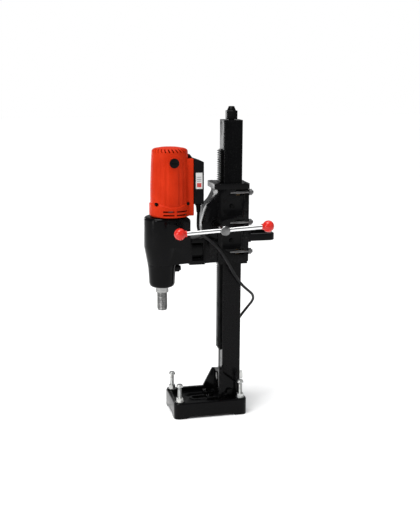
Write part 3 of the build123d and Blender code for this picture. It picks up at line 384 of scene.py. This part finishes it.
MATERIALS = {
    "cast_black": paint("cast_black", (0.0012, 0.0012, 0.0014), (0.0018, 0.0018, 0.0021),
                        0.15, 160, 0.00003),
    "column_black": paint("column_black", (0.0016, 0.0016, 0.0018), (0.0022, 0.0022, 0.0025),
                          0.20, 60, 0.000008),
    "plate_black": paint("plate_black", (0.0014, 0.0014, 0.0016), (0.0022, 0.0022, 0.0025),
                         0.18, 160, 0.00003),
    "rack_dark": metal("rack_dark", (0.004, 0.004, 0.0043), (0.010, 0.010, 0.0098), 0.34, grain=700),
    "zinc": metal("zinc", (0.42, 0.43, 0.43), (0.62, 0.62, 0.60), 0.36, grain=420, depth=0.00006),
    "steel": metal("steel", (0.22, 0.22, 0.22), (0.40, 0.40, 0.39), 0.28, (1, 1, 9)),
    "chrome": metal("chrome", (0.80, 0.80, 0.80), (0.88, 0.88, 0.88), 0.10, grain=60, depth=0.00002),
    "motor_red": plastic("motor_red", (0.47, 0.022, 0.004), (0.53, 0.028, 0.006),
                         0.42, 1500, 0.00005, gloss=0.04),
    "knob_red": plastic("knob_red", (0.52, 0.016, 0.010), (0.60, 0.022, 0.014),
                        0.16, 60, 0.00003, coat=0.35),
    "black_plastic": plastic("black_plastic", (0.003, 0.003, 0.0034), (0.0055, 0.0055, 0.006),
                             0.38, 1300, 0.00006, gloss=0.05),
    "cord_black": plastic("cord_black", (0.007, 0.007, 0.0075), (0.012, 0.012, 0.0125),
                          0.44, 900, 0.0001),
    "seal_rubber": plastic("seal_rubber", (0.008, 0.008, 0.008), (0.014, 0.014, 0.014),
                           0.55, 600, 0.0001),
    "bronze": metal("bronze", (0.42, 0.26, 0.12), (0.60, 0.40, 0.20), 0.36),
    "brass": metal("brass", (0.58, 0.42, 0.17), (0.74, 0.56, 0.27), 0.26, (6, 1, 1)),
    "gear_steel": metal("gear_steel", (0.26, 0.26, 0.27), (0.42, 0.42, 0.42), 0.34),
    "copper_iron": metal("copper_iron", (0.20, 0.13, 0.09), (0.42, 0.30, 0.22), 0.42, (1, 1, 14)),
    "carbon": plastic("carbon", (0.03, 0.03, 0.03), (0.05, 0.05, 0.05), 0.5, 500, 0.0001),
    "label_white": printed_label(),
}
# Clamp bolt steel: a darker steel than the zinc, and its colour is also darkened as painted shade for the
# lesser light the bolts get from the camera side.
DARK_AND_SHADED_BOLT_STEEL = metal("bolt_steel_dark_and_shaded", (0.070, 0.070, 0.072), (0.16, 0.16, 0.16), 0.34, grain=420)
HUB_STEEL = metal("hub_steel", (0.10, 0.10, 0.10), (0.22, 0.22, 0.22), 0.24, (9, 1, 1), grain=300)
SLOT_OF = {part["node"]: part["material_slot"] for part in frame["record"]["subparts"]}

for node, piece in NODES.items():
    piece.data.materials.clear()
    piece.data.materials.append(MATERIALS[SLOT_OF[node]])
# The clamp bolts take the darker steel whose colour also holds painted shade; the hub takes its own steel.
for node, material in (("clamp_bolts", DARK_AND_SHADED_BOLT_STEEL), ("handle_hub", HUB_STEEL)):
    NODES[node].data.materials[0] = material
mains_cord.data.materials.append(MATERIALS["cord_black"])


# ---- light and floor --------------------------------------------------------------------------
def add_light(name, place, target, size, tall, power):
    data = bpy.data.lights.new(name, "AREA")
    data.shape = "RECTANGLE"
    data.size = size
    data.size_y = tall
    data.energy = power
    lamp = bpy.data.objects.new(name, data)
    lamp.location = place
    lamp.rotation_euler = (Vector(target) - Vector(place)).to_track_quat("-Z", "Y").to_euler()
    bpy.context.scene.collection.objects.link(lamp)


def add_sun(towards, power):
    data = bpy.data.lights.new("sun", "SUN")
    data.energy = power
    data.angle = math.radians(35)
    lamp = bpy.data.objects.new("sun", data)
    lamp.rotation_euler = (-Vector(towards)).to_track_quat("-Z", "Y").to_euler()
    bpy.context.scene.collection.objects.link(lamp)


def make_world():
    """White to the camera, dimmer as a light, so that black enamel stays black."""
    world = bpy.data.worlds.new("studio")
    world.use_nodes = True
    tree = world.node_tree
    seen = tree.nodes["Background"]
    seen.inputs["Color"].default_value = (1, 1, 1, 1)
    seen.inputs["Strength"].default_value = 1.0
    lit = tree.nodes.new("ShaderNodeBackground")
    lit.inputs["Color"].default_value = (0.98, 0.99, 1, 1)
    lit.inputs["Strength"].default_value = 0.28
    path = tree.nodes.new("ShaderNodeLightPath")
    mix = tree.nodes.new("ShaderNodeMixShader")
    tree.links.new(path.outputs["Is Camera Ray"], mix.inputs[0])
    tree.links.new(lit.outputs[0], mix.inputs[1])
    tree.links.new(seen.outputs[0], mix.inputs[2])
    tree.links.new(mix.outputs[0], tree.nodes["World Output"].inputs["Surface"])
    bpy.context.scene.world = world


def make_floor():
    reach = 14.0
    corners = [(-reach, -reach, 0), (reach, -reach, 0), (reach, reach, 0), (-reach, reach, 0)]
    floor = add_object("floor", mesh_from("floor", corners, [(0, 1, 2, 3)], smooth=False))
    material, tree, shader = new_material("floor_paper")
    tree.links.new(ramp(tree, noise(tree, 3, 3), ((0.3, (0.93, 0.93, 0.93)), (0.7, (0.96, 0.96, 0.96)))),
                   shader.inputs["Base Color"])
    shader.inputs["Roughness"].default_value = 0.8
    floor.data.materials.append(material)


make_world()
make_floor()
TARGET = (0, 0, 0.45)
add_light("key", (1.8, -2.2, 1.9), TARGET, 0.4, 1.3, 22)
add_light("fill", (2.4, 2.0, 1.6), TARGET, 0.8, 1.5, 9)
add_light("rim", (-2.6, -1.0, 0.6), (0, 0, 0.6), 0.5, 1.2, 9)
add_light("strip", (0.9, -2.3, 1.0), (0, -0.1, 0.55), 0.16, 1.6, 9)
add_light("top", (-0.4, 0.2, 2.8), TARGET, 1.4, 1.4, 16)
add_sun((0.35, -0.6, 2.2), 2.85)
bpy.context.scene.view_settings.view_transform = "Standard"


# ---- finished shapes --------------------------------------------------------------------------
def finish_piece(piece, body, slot, *nodes):
    """Give a piece its material, attach it to what it rides on and hide the nodes it stands for."""
    if not piece.data.materials:
        piece.data.materials.append(MATERIALS[slot])
    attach(piece, body)
    if nodes:
        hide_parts(*nodes)
    return piece


def applied(piece):
    """Bake the piece's modifiers into its mesh."""
    graph = bpy.context.evaluated_depsgraph_get()
    mesh = bpy.data.meshes.new_from_object(piece.evaluated_get(graph))
    piece.modifiers.clear()
    piece.data = mesh
    return piece


def combine(piece, tools, operation):
    """Join or cut the piece with each tool in turn, and throw the tools away."""
    for tool in tools:
        modifier = piece.modifiers.new("combine", "BOOLEAN")
        modifier.operation = operation
        modifier.solver = "EXACT"
        modifier.object = tool
    bpy.context.view_layer.update()
    applied(piece)
    for tool in tools:
        bpy.data.objects.remove(tool)
    return piece


def smooth_by_angle(piece, degrees=32):
    work = bmesh.new()
    work.from_mesh(piece.data)
    bmesh.ops.remove_doubles(work, verts=work.verts, dist=1e-6)
    for edge in work.edges:
        edge.smooth = len(edge.link_faces) == 2 and edge.calc_face_angle(0) < math.radians(degrees)
    for face in work.faces:
        face.smooth = True
    work.to_mesh(piece.data)
    work.free()
    return piece


def welded_copy(node):
    """A copy of a node's mesh with its seams welded and its flat faces merged."""
    source = NODES[node].data
    work = bmesh.new()
    work.from_mesh(source)
    bmesh.ops.remove_doubles(work, verts=work.verts, dist=2e-6)
    bmesh.ops.dissolve_limit(work, angle_limit=math.radians(0.5), verts=work.verts, edges=work.edges)
    work.verts.index_update()
    verts = [vertex.co.copy() for vertex in work.verts]
    faces = [[vertex.index for vertex in face.verts] for face in work.faces]
    work.free()
    return mesh_from(node + "_shape", verts, faces, smooth=False)


def rounded_node(node, width):
    """Stand for a node with the same shape, its sharp edges rounded."""
    piece = add_object(node + "_finished", welded_copy(node))
    piece.data.materials.append(NODES[node].data.materials[0])
    bevel = piece.modifiers.new("round", "BEVEL")
    bevel.width = width
    bevel.segments = 2
    bevel.limit_method = "ANGLE"
    bevel.angle_limit = math.radians(40)
    bevel.use_clamp_overlap = True
    bpy.context.view_layer.update()
    applied(piece)
    smooth_by_angle(piece, 40)
    return finish_piece(piece, NODES[node]["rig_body"], SLOT_OF[node], node)


def revolved(name, outline, axis_y, steps=96):
    """Closed mesh turned from (radius, z) points about the upright line at x = 0, y = axis_y."""
    verts, faces = [], []
    rows = len(outline)
    for step in range(steps):
        angle = TAU * step / steps
        for radius, z in outline:
            verts.append((radius * math.cos(angle), axis_y + radius * math.sin(angle), z))
    for step in range(steps):
        following = (step + 1) % steps
        for row in range(rows - 1):
            a = step * rows + row
            b = following * rows + row
            faces.append((a, b, b + 1, a + 1))
    faces.append([step * rows for step in reversed(range(steps))])
    faces.append([step * rows + rows - 1 for step in range(steps)])
    return add_object(name, mesh_from(name, verts, faces))


def box_piece(name, low, high, turn=None, round_edge=0.0):
    """Box between two corners, turned about its middle; it is only ever a tool for cutting or joining."""
    work = bmesh.new()
    bmesh.ops.create_cube(work, size=1.0)
    size = Vector(high) - Vector(low)
    middle = (Vector(high) + Vector(low)) / 2
    bmesh.ops.scale(work, vec=size, verts=work.verts)
    if round_edge:
        bmesh.ops.bevel(work, geom=work.edges[:], offset=round_edge, segments=3, profile=0.5, affect="EDGES")
    if turn is not None:
        bmesh.ops.transform(work, matrix=turn, verts=work.verts)
    bmesh.ops.translate(work, vec=middle, verts=work.verts)
    mesh = bpy.data.meshes.new(name)
    work.to_mesh(mesh)
    work.free()
    return add_object(name, mesh)


def disc_piece(name, middle, radius, half_length, steps=48):
    """Round bar along X, used as a tool for cutting or joining."""
    work = bmesh.new()
    bmesh.ops.create_cone(work, cap_ends=True, segments=steps, radius1=radius, radius2=radius,
                          depth=2 * half_length)
    turn = Matrix.Rotation(math.pi / 2, 4, "Y")
    bmesh.ops.transform(work, matrix=Matrix.Translation(middle) @ turn, verts=work.verts)
    mesh = bpy.data.meshes.new(name)
    work.to_mesh(mesh)
    work.free()
    return add_object(name, mesh)


# ---- motor housing ----------------------------------------------------------------------------
MOTOR_LOW, MOTOR_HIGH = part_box("motor_housing")
CAP_LOW, CAP_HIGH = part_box("motor_cap")
MOTOR_Y = centre("motor_cap").y
BAND_RADIUS = MOTOR_HIGH.x
CAP_RADIUS = CAP_HIGH.x
RIM_Z = CAP_LOW.z
BRUSH = centre("brush_caps")
BRUSH_LOW, BRUSH_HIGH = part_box("brush_caps")
BRUSH_RADIUS = (BRUSH_HIGH.z - BRUSH_LOW.z) / 2
BAND_HEIGHT = 0.036
BAND_DIP = 0.007
MOTOR_WALL = 0.0035
REAR_HALF = 0.031
REAR_TOP = 0.761
BARREL_SWELL = 0.0045
BARREL_STRAIGHT = 0.45
FLUTE_DEPTH = 0.0012
FLUTE_PLACES = (0.0185, 0.0330, 0.0475)
PANEL_HALF = 0.0125
PANEL_RAISE = 0.0009
VENT_Y = (-0.0135, 0.0245)
VENT_Z = (0.0075, 0.0175)
VENT_HALF_LENGTH = 0.0155
VENT_HALF_HEIGHT = 0.0022
WELL_Y = (-0.0445, 0.0465)
WELL_Z = MOTOR_LOW.z + BAND_HEIGHT + 0.0005


def bump_curve(value, middle, half, soft):
    """1 inside the half width about the middle, falling smoothly to 0 over the soft width."""
    away = abs(value - middle) - half
    part = min(max(1 - away / soft, 0.0), 1.0)
    return part * part * (3 - 2 * part)


def motor_radius(angle, z):
    """Radius of the moulded motor housing: a gentle barrel, a wide band below, flutes and a middle panel."""
    rise = (z - MOTOR_LOW.z) / (RIM_Z - MOTOR_LOW.z)
    taper = max(rise - BARREL_STRAIGHT, 0) / (1 - BARREL_STRAIGHT)
    barrel = CAP_RADIUS + BARREL_SWELL * max(1 - taper, 0) ** 0.8
    side = abs(math.cos(angle))
    away = abs(math.asin(max(-1, min(1, math.sin(angle))))) * CAP_RADIUS
    band_edge = MOTOR_LOW.z + BAND_HEIGHT - BAND_DIP * bump_curve(away, 0, 0.004, 0.034)
    band = bump_curve(z, MOTOR_LOW.z, band_edge - MOTOR_LOW.z - 0.002, 0.004)
    foot = max(0.0, 1 - (z - MOTOR_LOW.z) / 0.005)
    flute_height = bump_curve(z, (MOTOR_LOW.z + RIM_Z) / 2 + 0.006, 0.058, 0.014)
    flutes = sum(bump_curve(away, place, 0.0012, 0.0038) for place in FLUTE_PLACES)
    panel = bump_curve(away, 0, PANEL_HALF, 0.0016) * bump_curve(z, MOTOR_LOW.z + 0.082, 0.043, 0.006)
    body = barrel - FLUTE_DEPTH * flutes * flute_height * side + PANEL_RAISE * panel
    wide = BAND_RADIUS - 0.0002 - 0.003 * foot * foot
    return body * (1 - band) + wide * band


def moulded_shell(name, steps, rows):
    """Closed solid wall of the housing, before it is hollowed and cut."""
    verts, faces = [], []
    for row in range(rows + 1):
        z = MOTOR_LOW.z + (RIM_Z - MOTOR_LOW.z) * row / rows
        for step in range(steps):
            angle = TAU * step / steps
            radius = motor_radius(angle, z)
            verts.append((radius * math.cos(angle), MOTOR_Y + radius * math.sin(angle), z))
    for row in range(rows):
        for step in range(steps):
            a = row * steps + step
            b = row * steps + (step + 1) % steps
            faces.append((a, b, b + steps, a + steps))
    faces.append(list(reversed(range(steps))))
    faces.append([rows * steps + step for step in range(steps)])
    return add_object(name, mesh_from(name, verts, faces))


def make_motor_housing():
    shell = moulded_shell("motor_shell", 256, 110)
    rear = box_piece("rear", (-REAR_HALF, MOTOR_Y + 0.02, MOTOR_LOW.z + 0.002),
                     (REAR_HALF, MOTOR_HIGH.y, REAR_TOP), round_edge=0.003)
    skirt = box_piece("skirt", (-REAR_HALF - 0.002, MOTOR_Y + 0.025, MOTOR_LOW.z + 0.0015),
                      (REAR_HALF + 0.002, MOTOR_HIGH.y, MOTOR_LOW.z + BAND_HEIGHT), round_edge=0.002)
    bosses = [disc_piece("boss", (side * 0.047, BRUSH.y, BRUSH.z), BRUSH_RADIUS + 0.0035, 0.0074)
              for side in (-1, 1)]
    combine(shell, [rear, skirt] + bosses, "UNION")
    inside = CAP_RADIUS - MOTOR_WALL
    inner = revolved("inner", [(inside, MOTOR_LOW.z + 0.006), (inside, RIM_Z + 0.01)], MOTOR_Y)
    rear_inner = box_piece("rear_inner", (-REAR_HALF + MOTOR_WALL, MOTOR_Y, MOTOR_LOW.z + 0.006),
                           (REAR_HALF - MOTOR_WALL, MOTOR_HIGH.y - MOTOR_WALL, REAR_TOP - MOTOR_WALL))
    tools = [inner, rear_inner]
    for side in (-1, 1):
        tools.append(disc_piece("cap_seat", (side * 0.045, BRUSH.y, BRUSH.z), BRUSH_RADIUS + 0.0002, 0.02))
        for y in VENT_Y:
            for z in VENT_Z:
                middle = Vector((side * 0.045, MOTOR_Y + y, MOTOR_LOW.z + z))
                half = Vector((0.02, VENT_HALF_LENGTH, VENT_HALF_HEIGHT))
                low = middle - half
                high = middle + half
                tools.append(box_piece("vent", low, high, round_edge=0.0015))
        for y in WELL_Y:
            place = (side * 0.042, MOTOR_Y + y, WELL_Z)
            tools.append(disc_piece("screw_well", place, 0.0055, 0.016))
    combine(shell, tools, "DIFFERENCE")
    smooth_by_angle(shell, 35)
    shell.name = "motor_housing_moulded"
    return finish_piece(shell, "carriage", "motor_red", "motor_housing")


def make_motor_screws():
    """Dark recessed screws of the motor housing, one at the bottom of each well."""
    parts = []
    for side in (-1, 1):
        for y in WELL_Y:
            place = (side * 0.0285, MOTOR_Y + y, WELL_Z)
            parts.append(disc_piece("screw", place, 0.0042, 0.0035, steps=24))
    combine(parts[0], parts[1:], "UNION")
    smooth_by_angle(parts[0])
    parts[0].name = "motor_screws"
    return finish_piece(parts[0], "carriage", "rack_dark")


CAP_SLOTS = 28


def make_motor_cap():
    """Shallow dome with slanted air slots round its shoulder."""
    radius = CAP_RADIUS
    outline = [(radius - 0.003, RIM_Z), (radius, RIM_Z + 0.0002), (radius - 0.0002, RIM_Z + 0.0015)]
    for step in range(9):
        angle = math.radians(10 * step + 10)
        outline.append((radius - 0.012 + 0.012 * math.cos(angle), RIM_Z + 0.0025 + 0.0095 * math.sin(angle)))
    outline += [(radius * 0.55, CAP_HIGH.z - 0.0008), (radius * 0.22, CAP_HIGH.z - 0.0001)]
    cap = revolved("cap_shape", outline, MOTOR_Y, 168)
    inner_outline = [(r * 0.93 - 0.001, z - 0.0024) for r, z in outline]
    inner_outline[0] = (inner_outline[0][0], RIM_Z - 0.001)
    tools = [revolved("cap_inner", inner_outline, MOTOR_Y, 84)]
    for step in range(CAP_SLOTS):
        around = Matrix.Rotation(TAU * step / CAP_SLOTS, 4, "Z")
        lean = Matrix.Rotation(math.radians(32), 4, "X")
        place = around @ Vector((radius - 0.003, 0, 0))
        low = Vector((place.x - 0.0075, MOTOR_Y + place.y - 0.0017, RIM_Z + 0.0015))
        high = Vector((place.x + 0.0075, MOTOR_Y + place.y + 0.0017, RIM_Z + 0.0125))
        tools.append(box_piece("slot", low, high, turn=around @ lean, round_edge=0.0010))
    combine(cap, tools, "DIFFERENCE")
    smooth_by_angle(cap, 30)
    cap.name = "motor_cap_vented"
    return finish_piece(cap, "carriage", "motor_red", "motor_cap")


make_motor_housing()
make_motor_screws()
make_motor_cap()


# ---- threads ----------------------------------------------------------------------------------
def threaded(name, x, y, z0, z1, radius, pitch, depth, bore=0.0, sides=32, per_turn=8):
    """Upright thread with rounded crests, tapered at its lower end, closed by flat ends or a bore."""
    rows = int((z1 - z0) / pitch * per_turn)
    verts, faces = [], []
    for row in range(rows + 1):
        z = z0 + (z1 - z0) * row / rows
        lead = min(1.0, (z - z0) / (1.5 * pitch))
        for step in range(sides):
            phase = ((z - z0) / pitch - step / sides) % 1.0
            wave = 0.5 - 0.5 * math.cos(TAU * phase)
            here = radius - depth * (0.25 + 0.75 * wave) - depth * 0.8 * (1 - lead)
            angle = TAU * step / sides
            verts.append((x + here * math.cos(angle), y + here * math.sin(angle), z))
    for row in range(rows):
        for step in range(sides):
            a = row * sides + step
            b = row * sides + (step + 1) % sides
            faces.append((a, b, b + sides, a + sides))
    top = rows * sides
    if bore:
        base = len(verts)
        for z in (z0, z1):
            for step in range(sides):
                angle = TAU * step / sides
                verts.append((x + bore * math.cos(angle), y + bore * math.sin(angle), z))
        for step in range(sides):
            n = (step + 1) % sides
            faces.append((n, step, base + step, base + n))
            faces.append((top + step, top + n, base + sides + n, base + sides + step))
            faces.append((base + n, base + step, base + sides + step, base + sides + n))
    else:
        faces.append(list(reversed(range(sides))))
        faces.append([top + step for step in range(sides)])
    return add_object(name, mesh_from(name, verts, faces))


def part_beyond(node, z, side):
    """The part of a node's mesh above a level (side 1) or below it (side -1), closed where it is cut."""
    work = bmesh.new()
    work.from_mesh(welded_copy(node))
    geometry = work.verts[:] + work.edges[:] + work.faces[:]
    bmesh.ops.bisect_plane(work, geom=geometry, plane_co=(0, 0, z), plane_no=(0, 0, side), clear_inner=True)
    edges = [edge for edge in work.edges if edge.is_boundary]
    bmesh.ops.holes_fill(work, edges=edges, sides=0)
    mesh = bpy.data.meshes.new(node + "_part")
    work.to_mesh(mesh)
    work.free()
    return add_object(node + "_part", mesh)


def joined(name, pieces):
    """One object out of several meshes that touch but stay separate shells."""
    work = bmesh.new()
    for piece in pieces:
        work.from_mesh(piece.data)
        bpy.data.objects.remove(piece)
    mesh = bpy.data.meshes.new(name)
    work.to_mesh(mesh)
    work.free()
    return add_object(name, mesh)


SCREW_RADIUS = 0.006
SCREW_PITCH = 0.00175
SCREW_THREAD = 0.0011
SPINDLE_RADIUS = 0.015875
SPINDLE_PITCH = 0.0254 / 7
SPINDLE_THREAD = 0.0022
SPINDLE_STUB = 0.054
SPINDLE_BORE = 0.006


def make_levelling_screws():
    for number in (1, 2, 3, 4):
        node = f"levelling_screw_{number}"
        low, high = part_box(node)
        middle = centre(node)
        head_z = high.z - 0.0075
        head = part_beyond(node, head_z, 1)
        shank = threaded("shank", middle.x, middle.y, low.z, head_z + 0.0002, SCREW_RADIUS, SCREW_PITCH,
                         SCREW_THREAD, sides=24, per_turn=6)
        screw = smooth_by_angle(joined(f"levelling_screw_threaded_{number}", [head, shank]), 50)
        finish_piece(screw, node, "zinc", node)


def make_spindle():
    stub_top = SPINDLE_LOW.z + SPINDLE_STUB
    upper = part_beyond("spindle", stub_top, 1)
    stub = threaded("stub", 0, SPINDLE_Y, SPINDLE_LOW.z, stub_top + 0.0002, SPINDLE_RADIUS, SPINDLE_PITCH,
                    SPINDLE_THREAD, bore=SPINDLE_BORE, sides=64, per_turn=12)
    spindle = smooth_by_angle(joined("spindle_threaded", [upper, stub]), 50)
    finish_piece(spindle, "spindle", "steel", "spindle")


JACK_HEX_ACROSS = 0.031
JACK_HEX_HEIGHT = 0.024
JACK_CHAMFER = 0.0012
JACK_CONE_HEIGHT = 0.012
JACK_CONE_FOOT = 0.013
JACK_CONE_TIP = 0.0075


def make_jack_screw():
    """Hexagon head of full width with a short cone on top, above the node's own shank."""
    low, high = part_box("jack_screw")
    middle = centre("jack_screw")
    hex_top = high.z - JACK_CONE_HEIGHT
    hex_foot = hex_top - JACK_HEX_HEIGHT
    corner = JACK_HEX_ACROSS / 2 / math.cos(math.pi / 6)
    chamfered = corner - JACK_CHAMFER
    outline = [(chamfered, hex_foot), (corner, hex_foot + JACK_CHAMFER), (corner, hex_top - JACK_CHAMFER),
               (chamfered, hex_top)]
    head = revolved("head", outline, middle.y, 6)
    if high.y - low.y > high.x - low.x:
        for vertex in head.data.vertices:
            across, along = vertex.co.x, vertex.co.y - middle.y
            vertex.co.x, vertex.co.y = -along, middle.y + across
    cone = revolved("cone", [(JACK_CONE_FOOT, hex_top - 0.0002), (JACK_CONE_TIP + 0.0006, high.z - 0.0006),
                             (JACK_CONE_TIP - 0.0002, high.z)], middle.y, 48)
    shank = part_beyond("jack_screw", hex_foot + 0.0002, -1)
    screw = smooth_by_angle(joined("jack_screw_finished", [shank, head, cone]), 40)
    finish_piece(screw, "jack_screw", "rack_dark", "jack_screw")


make_levelling_screws()
make_spindle()
make_jack_screw()

ROUNDED_EDGES = {
    "base": 0.0012,
    "column": 0.0010,
    "column_bracket": 0.0012,
    "carriage": 0.0012,
    "clamp_plate": 0.0008,
    "top_plate": 0.0008,
    "neck": 0.0012,
    "gearbox_housing": 0.0012,
    "nose_housing": 0.0008,
    "control_box": 0.0006,
    "box_bracket": 0.0005,
    "carry_handle": 0.0008,
    "handle_hub": 0.0006,
    "brush_caps": 0.0006,
    "rocker_switch": 0.0004,
    "rocker_bezel": 0.0004,
}
for rounded, edge_width in ROUNDED_EDGES.items():
    rounded_node(rounded, edge_width)


# ---- last update of the scene -----------------------------------------------------------------
bpy.context.view_layer.update()
